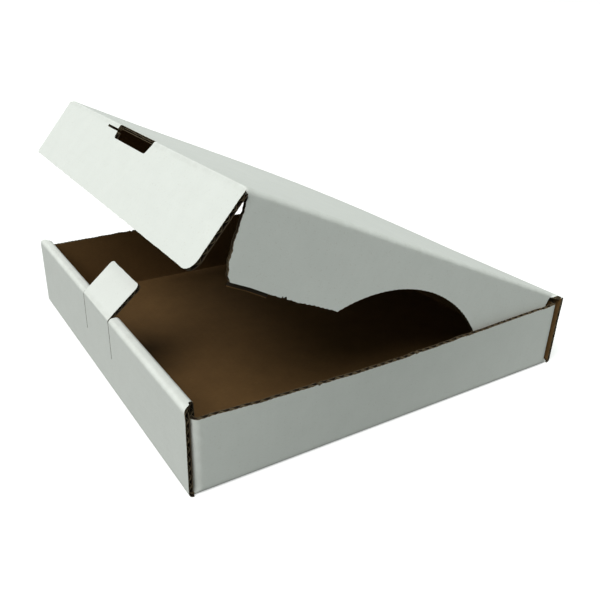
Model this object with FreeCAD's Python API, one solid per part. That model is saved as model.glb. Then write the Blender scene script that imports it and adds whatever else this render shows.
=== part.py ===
"""A square pizza box of corrugated board, folded from one die-cut sheet, with its lid part open.

Millimetres. +Z is up, the front is at -Y, and the origin is the middle of the floor's underside.
Only the pieces that move on their creases are separate: the tray, the lid with its two side
flaps, the lid's front flap and the lock tab on the front wall's ridge.
"""
import FreeCAD, Part
import math
import os
from FreeCAD import Vector

# The board: white outside, brown inside.
board = 2.7
crease_radius = 0.5
layer_gap = 0.15
crease_gap = 0.25

# How far a cut runs past the face that it starts from.
overcut = 1.0

# The tray.
tray_width = 305.0
tray_length = 309.5
side_wall_height = 52.5
front_wall_height = 59.2
rear_wall_height = 54.6
rear_wall_lean = 1.0
rear_corner_gap = 1.9
rear_wall_inset = 0.4
inner_panel_clearance = 0.5
inner_panel_lift = 0.3
corner_tab_length = 62.0
corner_tab_taper = 4.0
corner_tab_lift = 1.2

# How far the side walls lean out along their length, as (share of the length from the front, degrees).
side_wall_leans = ((0.0, 1.6), (0.17, 4.8), (0.40, 6.8), (0.63, 4.8), (0.83, 2.1), (1.0, 0.2))

# The lock tab, its crease near the top of the front wall, and the slits beside it.
tab_width = 53.6
tab_length = 31.0
tab_corner_radius = 4.0
tab_crease_gap = 0.8
tab_angle = 41.0
tab_crease_height = 57.2
tab_slit_width = 0.9
tab_slit_bottom = 28.5
tab_window_bottom = 34.0

# The lid.
lid_angle = 23.6
lid_length = 293.6
lid_side_clearance = 0.5
lid_dome = 5.0
lid_flat_end = 10.0
lid_front_corner_gap = 3.4
side_flap_depth = 50.9
side_flap_rear_gap = 9.0
side_flap_front_taper = 4.0
side_flap_front_cut = 6.0
side_flap_front_cut_height = 9.0
arch_centre = 139.0
arch_width = 137.0
arch_rise = 26.3

# The lid's front flap and the slot that takes the lock tab.
front_flap_angle = 73.9
front_flap_depth = 49.7
front_flap_side_clearance = 0.45
front_flap_taper = 0.8
front_flap_corner_radius = 9.0
slot_clearance = 4.0
slot_depth = 9.2
slot_taper = 3.0
slot_corner_radius = 2.5
slot_wing_length = 20.0
slot_wing_start = 1.6
slot_wing_width = 1.3

bend_radius = crease_radius + board
half_width = tray_width / 2
half_length = tray_length / 2
front_face = -half_length
roll_thickness = 3 * board + 2 * layer_gap
front_tab_face = front_face + board + layer_gap
side_wall_front = front_tab_face + bend_radius
rear_tab_face = half_length - board - rear_corner_gap
side_wall_rear = rear_tab_face - bend_radius
inner_half_width = half_width - board

hinge_y = half_length + rear_wall_height * math.tan(math.radians(rear_wall_lean)) - board / 2
hinge_z = rear_wall_height
tab_hinge_y = front_face + board / 2
tab_hinge_z = tab_crease_height

lid_half_width = inner_half_width - lid_side_clearance
lid_flat_half_width = lid_half_width - bend_radius
front_flap_half_width = inner_half_width + front_flap_side_clearance
slot_half_width = (tab_width + 2 * slot_clearance) / 2
nose = board / 2
crease_start = nose + crease_gap


def line(a, b):
    """A straight edge."""
    return Part.LineSegment(a, b).toShape()


def arc(a, middle, b):
    """A round edge through three points."""
    return Part.Arc(a, middle, b).toShape()


def box(x0, x1, y0, y1, z0, z1):
    """A block between two corners."""
    return Part.makeBox(x1 - x0, y1 - y0, z1 - z0, Vector(x0, y0, z0))


def turned(shape, point, degrees):
    """The shape turned about a line along X, where positive degrees raise the +Y side."""
    copy = shape.copy()
    copy.rotate(point, Vector(1, 0, 0), degrees)
    return copy


def folded_section(start, steps, place, round_end=False):
    """The closed wire of a bent strip of board, seen end on.

    The strip sets out level from (start, 0), with its outer face down. A step is ("run", length)
    or ("bend", degrees), and every bend turns towards the inner face. place maps the two
    coordinates to a point.
    """
    x, z, heading = start, 0.0, 0.0
    outer, inner = [], []

    def inner_point(px, pz, angle):
        return place(px - board * math.sin(angle), pz + board * math.cos(angle))

    first_outer, first_inner = place(x, z), inner_point(x, z, heading)
    for kind, amount in steps:
        if kind == "run":
            nx, nz = x + amount * math.cos(heading), z + amount * math.sin(heading)
            outer.append(line(place(x, z), place(nx, nz)))
            inner.append(line(inner_point(x, z, heading), inner_point(nx, nz, heading)))
            x, z = nx, nz
            continue
        turn = math.radians(amount)
        cx, cz = x - bend_radius * math.sin(heading), z + bend_radius * math.cos(heading)

        def on_bend(radius, angle):
            return place(cx + radius * math.sin(angle), cz - radius * math.cos(angle))

        middle, last = heading + turn / 2, heading + turn
        outer.append(arc(*(on_bend(bend_radius, a) for a in (heading, middle, last))))
        inner.append(arc(*(on_bend(crease_radius, a) for a in (heading, middle, last))))
        x, z = cx + bend_radius * math.sin(last), cz - bend_radius * math.cos(last)
        heading = last
    last_outer, last_inner = place(x, z), inner_point(x, z, heading)
    if round_end:
        mx, mz = x - nose * math.sin(heading), z + nose * math.cos(heading)
        tip = place(mx + nose * math.cos(heading), mz + nose * math.sin(heading))
        cap = arc(last_outer, tip, last_inner)
    else:
        cap = line(last_outer, last_inner)
    return Part.Wire(outer + [cap] + inner[::-1] + [line(first_inner, first_outer)])


def run_to_height(height, lean):
    """How long a wall's flat run is, from the end of its bend up to a height."""
    angle = math.radians(90 - lean)
    return (height - bend_radius * (1 - math.cos(angle))) / math.sin(angle)


def side_wall_outer_x(height, lean):
    """Where the outer face of a leaning side wall is at a height."""
    angle = math.radians(90 - lean)
    run = run_to_height(height, lean)
    return half_width - bend_radius + bend_radius * math.sin(angle) + run * math.cos(angle)


def side_wall():
    """The right side wall with its floor crease, bowed outwards between its corners."""
    length = side_wall_rear - side_wall_front
    wires = []
    for share, lean in side_wall_leans:
        y = side_wall_front + share * length
        steps = [("bend", 90 - lean), ("run", run_to_height(side_wall_height, lean))]
        wires.append(folded_section(half_width - bend_radius, steps, lambda x, z, y=y: Vector(x, y, z)))
    return Part.makeLoft(wires, True, False)


def corner_tab(lean, wall_end, tab_face, inward):
    """The crease and tab at one end of the right side wall. inward is 1 at the front, -1 at the rear."""
    bottom, top = bend_radius + corner_tab_lift, side_wall_height
    horizontal_board = board / math.cos(math.radians(lean))
    wires = []
    for z in (bottom, top):
        cx = side_wall_outer_x(z, lean) - bend_radius
        inner_radius = bend_radius - horizontal_board

        def corner(radius, degrees):
            a = math.radians(degrees)
            return Vector(cx + radius * math.cos(a), wall_end - inward * radius * math.sin(a), z)

        wires.append(Part.Wire([
            arc(*(corner(bend_radius, a) for a in (0, 45, 90))),
            line(corner(bend_radius, 90), corner(inner_radius, 90)),
            arc(*(corner(inner_radius, a) for a in (90, 45, 0))),
            line(corner(inner_radius, 0), corner(bend_radius, 0)),
        ]))
    crease = Part.makeLoft(wires, True, True)
    root = [side_wall_outer_x(z, lean) - bend_radius for z in (bottom, top)]
    end = half_width - corner_tab_length
    outline = [
        Vector(root[0], tab_face, bottom),
        Vector(end, tab_face, bottom + corner_tab_taper),
        Vector(end, tab_face, top - corner_tab_taper),
        Vector(root[1], tab_face, top),
    ]
    thick = Vector(0, inward * horizontal_board, 0)
    tab = Part.Face(Part.makePolygon(outline + outline[:1])).extrude(thick)
    return [crease, tab]


def front_wall():
    """The front wall: an outer panel, a rounded ridge and an inner panel that comes down inside."""
    ridge_run = roll_thickness - 2 * bend_radius
    panel_run = front_wall_height - 2 * bend_radius
    inner_run = front_wall_height - bend_radius - board - inner_panel_lift
    steps = [
        ("bend", 90), ("run", panel_run), ("bend", 90), ("run", ridge_run),
        ("bend", 90), ("run", inner_run),
    ]
    section = folded_section(half_length - bend_radius, steps, lambda x, z: Vector(-half_width, -x, z))
    wall = Part.Face(section).extrude(Vector(tray_width, 0, 0))

    # The inner panel is narrower, so that it drops between the side walls.
    keep = inner_half_width - inner_panel_clearance
    behind = front_tab_face - layer_gap / 2
    above = side_wall_height + layer_gap
    inside = front_face + roll_thickness + overcut
    for side in (-1, 1):
        x0, x1 = sorted((side * keep, side * (half_width + overcut)))
        wall = wall.cut(box(x0, x1, behind, inside, board / 2, above))

    # The lock tab is cut out of the ridge and the inner panel, and two slits run down beside it.
    window = tab_width / 2 + tab_slit_width
    top = front_wall_height + overcut
    wall = wall.cut(box(-window, window, front_face + board, inside, tab_window_bottom, top))
    wall = wall.cut(box(-window, window, front_face - overcut, front_tab_face, tab_slit_bottom, top))
    x0 = -tab_width / 2
    y0, y1 = front_face, front_face + board
    tongue = Part.Face(Part.Wire([
        line(Vector(x0, y0, tab_slit_bottom), Vector(x0, y0, tab_hinge_z)),
        arc(Vector(x0, y0, tab_hinge_z), Vector(x0, tab_hinge_y, tab_hinge_z + nose), Vector(x0, y1, tab_hinge_z)),
        line(Vector(x0, y1, tab_hinge_z), Vector(x0, y1, tab_slit_bottom)),
        line(Vector(x0, y1, tab_slit_bottom), Vector(x0, y0, tab_slit_bottom)),
    ])).extrude(Vector(tab_width, 0, 0))
    return wall.fuse(tongue)


def rear_wall():
    """The rear wall, with a rounded top where the lid folds."""
    steps = [("bend", 90 - rear_wall_lean), ("run", run_to_height(hinge_z, rear_wall_lean))]
    x0 = -half_width + rear_wall_inset
    section = folded_section(half_length - bend_radius, steps, lambda x, z: Vector(x0, x, z), round_end=True)
    return Part.Face(section).extrude(Vector(-2 * x0, 0, 0))


def tray():
    """The floor with its four walls, corner tabs and rolled front wall."""
    floor_half = half_width - bend_radius
    floor = box(-floor_half, floor_half, side_wall_front, side_wall_rear, 0, board)
    front_sill = box(-floor_half, floor_half, -half_length + bend_radius, side_wall_front, 0, board)
    rear_sill = box(-floor_half, floor_half, side_wall_rear, half_length - bend_radius, 0, board)
    right = [side_wall()]
    right += corner_tab(side_wall_leans[0][1], side_wall_front, front_tab_face, 1)
    right += corner_tab(side_wall_leans[-1][1], side_wall_rear, rear_tab_face, -1)
    left = [piece.mirror(Vector(0, 0, 0), Vector(1, 0, 0)) for piece in right]
    pieces = [floor, front_sill, rear_sill, front_wall(), rear_wall()] + right + left
    return pieces[0].fuse(pieces[1:]).removeSplitter()


def lid_panel():
    """The top panel between its side creases, raised a little in the middle."""
    rear, front = lid_flat_end, lid_length - lid_flat_end
    edge = lid_flat_half_width
    wires = []
    for share in (0.0, 0.25, 0.5, 0.75, 1.0):
        s = rear + share * (front - rear)
        rise = lid_dome * (1 - (2 * share - 1) ** 2)

        def row(level):
            xs = [edge * n / 4 for n in range(-4, 5)]
            points = [Vector(x, -s, level + rise * (1 - (x / edge) ** 2)) for x in xs]
            curve = Part.BSplineCurve()
            curve.interpolate(points)
            return curve.toShape(), points[0], points[-1]

        upper, upper_left, upper_right = row(nose)
        lower, lower_left, lower_right = row(-nose)
        wires.append(Part.Wire([upper, line(upper_right, lower_right), lower, line(lower_left, upper_left)]))
    return Part.makeLoft(wires, True, False)


def side_flap():
    """The right side flap: a crease along the lid's edge, and the flap with its arch."""
    top = nose
    bottom = nose - side_flap_depth
    rear, front = side_flap_rear_gap, lid_length - lid_front_corner_gap
    steps = [("bend", 90), ("run", side_flap_depth - bend_radius)]
    section = folded_section(lid_flat_half_width, steps, lambda x, z: Vector(x, -rear, top - z))
    flap = Part.Face(section).extrude(Vector(0, rear - front, 0))

    x0 = lid_half_width - board - overcut
    through = Vector(board + 2 * overcut, 0, 0)
    half = arch_width / 2
    below = bottom - overcut
    arch_edges = [
        arc(Vector(x0, -arch_centre + half, bottom), Vector(x0, -arch_centre, bottom + arch_rise),
            Vector(x0, -arch_centre - half, bottom)),
        line(Vector(x0, -arch_centre - half, bottom), Vector(x0, -arch_centre - half, below)),
        line(Vector(x0, -arch_centre - half, below), Vector(x0, -arch_centre + half, below)),
        line(Vector(x0, -arch_centre + half, below), Vector(x0, -arch_centre + half, bottom)),
    ]
    flap = flap.cut(Part.Face(Part.Wire(arch_edges)).extrude(through))

    # The front end slopes back a little, and its lower corner is cut away.
    cut_top = bottom + side_flap_front_cut_height
    end = [
        Vector(x0, -front - overcut, top - bend_radius),
        Vector(x0, -front, top - bend_radius),
        Vector(x0, -front + side_flap_front_taper, cut_top),
        Vector(x0, -front + side_flap_front_taper + side_flap_front_cut, below),
        Vector(x0, -front - overcut, below),
    ]
    return flap.cut(Part.Face(Part.makePolygon(end + end[:1])).extrude(through))


def lid():
    """The lid as it lies closed, turned up to its open angle about the rear crease."""
    edge = lid_flat_half_width
    rear_strip = box(-edge, edge, -lid_flat_end, -crease_start, -nose, nose)
    front_from = lid_length - lid_flat_end
    y0, y1 = -lid_length, -front_from
    front_strip = Part.Face(Part.Wire([
        line(Vector(-edge, y1, nose), Vector(-edge, y0, nose)),
        arc(Vector(-edge, y0, nose), Vector(-edge, y0 - nose, 0), Vector(-edge, y0, -nose)),
        line(Vector(-edge, y0, -nose), Vector(-edge, y1, -nose)),
        line(Vector(-edge, y1, -nose), Vector(-edge, y1, nose)),
    ])).extrude(Vector(2 * edge, 0, 0))
    cut_edge = box(-slot_half_width, slot_half_width, y0 - board, y0, -board, board)
    front_strip = front_strip.cut(cut_edge)
    right = side_flap()
    left = right.mirror(Vector(0, 0, 0), Vector(1, 0, 0))
    flat = rear_strip.fuse([lid_panel(), front_strip, right, left]).removeSplitter()
    flat.translate(Vector(0, hinge_y, hinge_z))
    return turned(flat, Vector(0, hinge_y, hinge_z), -lid_angle)


def rounded_outline(corners):
    """A closed level wire through (x, y, radius) corners, each with its own corner radius."""
    edges, count = [], len(corners)
    starts, ends = [], []
    for n, (x, y, radius) in enumerate(corners):
        here = Vector(x, y, 0)
        if radius == 0:
            starts.append(here)
            ends.append(here)
            continue
        before = Vector(*corners[n - 1][:2], 0) - here
        after = Vector(*corners[(n + 1) % count][:2], 0) - here
        before.normalize()
        after.normalize()
        half = before.getAngle(after) / 2
        reach = radius / math.tan(half)
        starts.append(here + before * reach)
        ends.append(here + after * reach)
        bisector = before + after
        bisector.normalize()
        middle = here + bisector * (radius / math.sin(half) - radius)
        edges.append((n, arc(starts[n], middle, ends[n])))
    rounds = dict(edges)
    wire = []
    for n in range(count):
        if n in rounds:
            wire.append(rounds[n])
        wire.append(line(ends[n], starts[(n + 1) % count]))
    return Part.Wire(wire)


def front_flap():
    """The lid's front flap, with rounded lower corners and the winged slot at its crease."""
    half, taper = front_flap_half_width, front_flap_taper
    outline = rounded_outline([
        (-half, -crease_start, 0),
        (half, -crease_start, 0),
        (half - taper, -front_flap_depth, front_flap_corner_radius),
        (-half + taper, -front_flap_depth, front_flap_corner_radius),
    ])
    flap = Part.Face(outline).extrude(Vector(0, 0, board))
    slot = rounded_outline([
        (-slot_half_width, 0, 0),
        (slot_half_width, 0, 0),
        (slot_half_width - slot_taper, -slot_depth, slot_corner_radius),
        (-slot_half_width, -slot_depth, slot_corner_radius),
    ])
    slot.translate(Vector(0, 0, -overcut))
    flap = flap.cut(Part.Face(slot).extrude(Vector(0, 0, board + 2 * overcut)))
    wing_end = slot_half_width + slot_wing_length
    top = -crease_start - slot_wing_start
    bottom = top - slot_wing_width
    flap = flap.cut(box(-wing_end, overcut - slot_half_width, bottom, top, -overcut, board + overcut))
    flap.translate(Vector(0, 0, -nose))

    # The flap lies along the lid, then folds down at the lid's front crease and turns up with the lid.
    flap.translate(Vector(0, hinge_y - lid_length, hinge_z))
    flap = turned(flap, Vector(0, hinge_y - lid_length, hinge_z), front_flap_angle)
    return turned(flap, Vector(0, hinge_y, hinge_z), -lid_angle)


def lock_tab():
    """The lock tab, standing up from the ridge and leaning in over the tray."""
    half = tab_width / 2
    outline = rounded_outline([
        (-half, nose + tab_crease_gap, 0),
        (half, nose + tab_crease_gap, 0),
        (half, tab_length, tab_corner_radius),
        (-half, tab_length, tab_corner_radius),
    ])
    tab = Part.Face(outline).extrude(Vector(0, 0, board))
    tab.translate(Vector(0, tab_hinge_y, tab_hinge_z - nose))
    return turned(tab, Vector(0, tab_hinge_y, tab_hinge_z), tab_angle)


def main():
    """Write one solid for each piece."""
    os.makedirs("parts", exist_ok=True)
    shapes = {"tray": tray(), "lid": lid(), "front_flap": front_flap(), "lock_tab": lock_tab()}
    for name, shape in shapes.items():
        if len(shape.Solids) != 1 or not shape.isValid():
            raise RuntimeError(f"{name} has {len(shape.Solids)} solids, valid: {shape.isValid()}")
        shape.Solids[0].exportStep(f"parts/{name}.step")
        size = shape.BoundBox
        print(name, f"{shape.Volume:.0f} mm3", f"x {size.XMin:.1f} {size.XMax:.1f}",
              f"y {size.YMin:.1f} {size.YMax:.1f}", f"z {size.ZMin:.2f} {size.ZMax:.1f}")
    print("lid crease", f"{hinge_y:.3f} {hinge_z:.3f}", "tab crease", f"{tab_hinge_y:.3f} {tab_hinge_z:.3f}")
    lid_turn = math.radians(lid_angle)
    print("front crease", f"{hinge_y - lid_length * math.cos(lid_turn):.3f}",
          f"{hinge_z + lid_length * math.sin(lid_turn):.3f}")


main()
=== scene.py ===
"""Dresses the folded pizza box: white outside, brown inside, with creases and fluted cut edges.

Every piece of board is a flat sheet with an outline, set into its folded place. Sheet sizes are in
millimetres. On a sheet, u runs along the flutes, v runs across them, and lift is the height above
the middle of the board, positive on the white side.
"""
from __future__ import annotations

import logging
import math
from dataclasses import dataclass, field
from enum import Enum, IntEnum

import bmesh
import bpy
import numpy
from mathutils import Matrix, Vector, geometry, noise

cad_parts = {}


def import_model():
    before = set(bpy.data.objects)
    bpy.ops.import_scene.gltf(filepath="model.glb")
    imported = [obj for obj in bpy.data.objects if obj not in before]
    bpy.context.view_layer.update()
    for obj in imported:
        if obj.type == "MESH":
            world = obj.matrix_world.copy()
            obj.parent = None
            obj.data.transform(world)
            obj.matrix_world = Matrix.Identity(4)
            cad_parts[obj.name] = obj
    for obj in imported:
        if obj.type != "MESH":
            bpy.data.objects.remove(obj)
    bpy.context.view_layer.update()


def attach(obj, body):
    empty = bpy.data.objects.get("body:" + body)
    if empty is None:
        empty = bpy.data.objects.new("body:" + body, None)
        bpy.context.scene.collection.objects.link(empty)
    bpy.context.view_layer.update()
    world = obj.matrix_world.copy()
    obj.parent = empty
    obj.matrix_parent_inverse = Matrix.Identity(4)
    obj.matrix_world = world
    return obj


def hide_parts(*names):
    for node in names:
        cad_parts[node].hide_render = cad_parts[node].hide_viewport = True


LOG = logging.getLogger("pizza_box")
METRES = 0.001
SHARP_ANGLE = math.radians(32)
WELD = 0.000002
SLIVER = 0.0000001
FLAT_WELD = 0.00001

Pair = tuple[float, float]
Triple = tuple[float, float, float]


@dataclass(frozen=True)
class Board:
    """Single-wall board: two papers with a fluted paper between them."""

    thickness: float = 2.7
    liner: float = 0.34
    fluting: float = 0.22
    flute_pitch: float = 6.3
    cut_depth: float = 3.4
    flute_recess: float = 0.12
    flute_play: float = 0.2
    torn_lip: float = 3.0
    lip_bevel: float = 0.45
    crease_radius: float = 0.5
    hinge_radius: float = 1.36

    @property
    def half(self) -> float:
        """Half of the thickness."""
        return self.thickness / 2

    @property
    def bend_radius(self) -> float:
        """The outer radius of a crease."""
        return self.crease_radius + self.thickness

    @property
    def middle_radius(self) -> float:
        """The radius of a crease in the middle of the board."""
        return self.crease_radius + self.half

    @property
    def square_bend(self) -> float:
        """How much of the sheet a square crease takes up."""
        return self.middle_radius * math.pi / 2


BOARD = Board()


class Skin(IntEnum):
    """The faces of a piece of board, by material index."""

    WHITE = 0
    KRAFT = 1
    CUT = 2
    # HOLLOW is the recess between the liners at a cut edge; its finish is painted shade, near black for the
    # dark inside the flutes, not a darker paper.
    HOLLOW = 3


class Rim(Enum):
    """How one side of a sheet ends."""

    CUT = "a cut edge that shows the flutes"
    PLAIN = "a cut edge with no rough teeth"
    THIN = "a cut edge too narrow to look into"
    LIP = "a torn edge, where the brown paper hangs out past the white one"
    SEAM = "goes on into the next sheet"
    NOSE = "the round back of a crease"
    HOLLOW = "the hollow that turns on a round back"

    @property
    def is_cut(self) -> bool:
        """Whether the flutes show at this rim."""
        return self in (Rim.CUT, Rim.PLAIN)


@dataclass(frozen=True)
class Corner:
    """A corner of an outline, with the rim of the side that starts there."""

    u: float
    v: float
    rim: Rim = Rim.CUT
    radius: float = 0.0

    @property
    def flat(self) -> Vector:
        """The place as a vector."""
        return Vector((self.u, self.v))


@dataclass(frozen=True)
class CutStyle:
    """How roughly the knife left the cut sides."""

    step: float = 0.75
    tooth_pitch: float = 2.6
    tooth_depth: float = 0.22
    wander: float = 0.22
    wander_scale: float = 9.0
    ease: float = 4.0


def rounded(corners: list[Corner], steps: int = 6) -> list[Corner]:
    """Replace each corner that has a radius by points on its arc.

    Args:
        corners: the outline, in order.
        steps: how many straight pieces make each arc.

    Returns:
        The outline with sharp corners only.
    """
    result: list[Corner] = []
    for index, corner in enumerate(corners):
        if corner.radius == 0:
            result.append(corner)
            continue
        here = corner.flat
        back = (corners[index - 1].flat - here).normalized()
        ahead = (corners[(index + 1) % len(corners)].flat - here).normalized()
        half_angle = back.angle(ahead) / 2
        reach = corner.radius / math.tan(half_angle)
        centre = here + (back + ahead).normalized() * (corner.radius / math.sin(half_angle))
        start = here + back * reach - centre
        end = here + ahead * reach - centre
        sweep = start.angle_signed(end)
        for step in range(steps + 1):
            point = centre + Matrix.Rotation(-sweep * step / steps, 2) @ start
            result.append(Corner(point.x, point.y, corner.rim))
    return result


def sampled(corners: list[Corner], style: CutStyle, seed: float) -> list[Corner]:
    """Divide the cut sides of an outline finely and roughen them.

    Args:
        corners: the outline, anticlockwise with the board on its left.
        style: the roughness.
        seed: a different number for each sheet.

    Returns:
        The finely divided outline.
    """
    result: list[Corner] = []
    travelled = 0.0
    for index, corner in enumerate(corners):
        start = corner.flat
        along = corners[(index + 1) % len(corners)].flat - start
        length = along.length
        result.append(corner)
        if corner.rim.is_cut and length > style.step:
            pieces = math.ceil(length / style.step)
            inwards = Vector((-along.y, along.x)).normalized()
            for piece in range(1, pieces):
                done = length * piece / pieces
                ease = min(1.0, done / style.ease, (length - done) / style.ease)
                distance = travelled + done
                depth = 0.0
                if corner.rim is Rim.CUT:
                    tooth = abs(2 * (distance / style.tooth_pitch % 1) - 1)
                    slow = noise.noise(Vector((distance / style.wander_scale, seed, 0.0)))
                    depth = style.tooth_depth * tooth + style.wander * (slow + 0.5)
                point = start + along * (piece / pieces) + inwards * max(depth, 0.0) * ease
                result.append(Corner(point.x, point.y, corner.rim))
        travelled += length
    return result


def nick(edge: float, v: float, depth: float) -> list[Corner]:
    """A small torn nick in an edge that runs along v with the board at lower u."""
    shape = ((-1.4, 0.0), (-0.4, 1.0), (0.6, 0.5), (1.5, 0.0))
    return [Corner(edge - depth * share, v + past) for past, share in shape]


def inside(points: numpy.ndarray, loops: list[list[Corner]]) -> numpy.ndarray:
    """Which points lie inside the outlines, where an outline inside another is a hole.

    Args:
        points: one row of u, v for each point.
        loops: the outlines.

    Returns:
        One truth value for each point.
    """
    crossings = numpy.zeros(len(points), dtype=int)
    for a, b in ((a, b) for loop in loops for a, b in zip(loop, loop[1:] + loop[:1])):
        spans = (a.v > points[:, 1]) != (b.v > points[:, 1])
        if spans.any():
            meets = a.u + (points[:, 1] - a.v) * (b.u - a.u) / (b.v - a.v)
            crossings += spans & (points[:, 0] < meets)
    return crossings % 2 == 1


def add_object(name: str, data: bpy.types.ID) -> bpy.types.Object:
    """Make an object of some data and link it to the scene.

    Args:
        name: the name.
        data: what the object shows.

    Returns:
        The new object.
    """
    made = bpy.data.objects.new(name, data)
    bpy.context.scene.collection.objects.link(made)
    return made


@dataclass
class Fold:
    """A strip of board that sets out level, white side down, and bends up and over.

    A step is a run of a length, or a bend of an angle in degrees towards the brown side.
    """

    steps: tuple[tuple[str, float], ...]

    def at(self, distance: float, lift: float) -> tuple[float, float]:
        """Where a point of the strip is.

        Args:
            distance: how far along the middle of the board.
            lift: height above the middle, towards the white side.

        Returns:
            The level distance and the height above the strip's lowest face.
        """
        a, z, heading = 0.0, BOARD.half, 0.0
        radius = BOARD.middle_radius
        left = distance
        for number, (kind, amount) in enumerate(self.steps):
            final = number == len(self.steps) - 1
            if kind == "run":
                part = left if final else min(left, amount)
                a += part * math.cos(heading)
                z += part * math.sin(heading)
            else:
                part = min(left, radius * math.radians(amount))
                centre_a = a - radius * math.sin(heading)
                centre_z = z + radius * math.cos(heading)
                heading += part / radius
                a = centre_a + radius * math.sin(heading)
                z = centre_z - radius * math.cos(heading)
            left -= part
            if left <= 0:
                break
        return a + lift * math.sin(heading), z - lift * math.cos(heading)


def smooth_between(stations: tuple[tuple[float, float], ...], place: float) -> float:
    """A smooth value between stations.

    Args:
        stations: (place, value) pairs in order.
        place: where the value is wanted.

    Returns:
        The value, level beyond the first and the last station.
    """
    places, values = zip(*stations)
    last = len(stations) - 1
    sides = [(max(n - 1, 0), min(n + 1, last)) for n in range(last + 1)]
    slopes = [(values[after] - values[before]) / (places[after] - places[before]) for before, after in sides]
    if place <= places[0]:
        return values[0]
    for n in range(last):
        if place <= places[n + 1]:
            width = places[n + 1] - places[n]
            share = (place - places[n]) / width
            rise = share * share * (3 - 2 * share)
            leave = share * (1 - share) ** 2 * slopes[n] * width
            arrive = share * share * (share - 1) * slopes[n + 1] * width
            return values[n] * (1 - rise) + values[n + 1] * rise + leave + arrive
    return values[-1]


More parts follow.
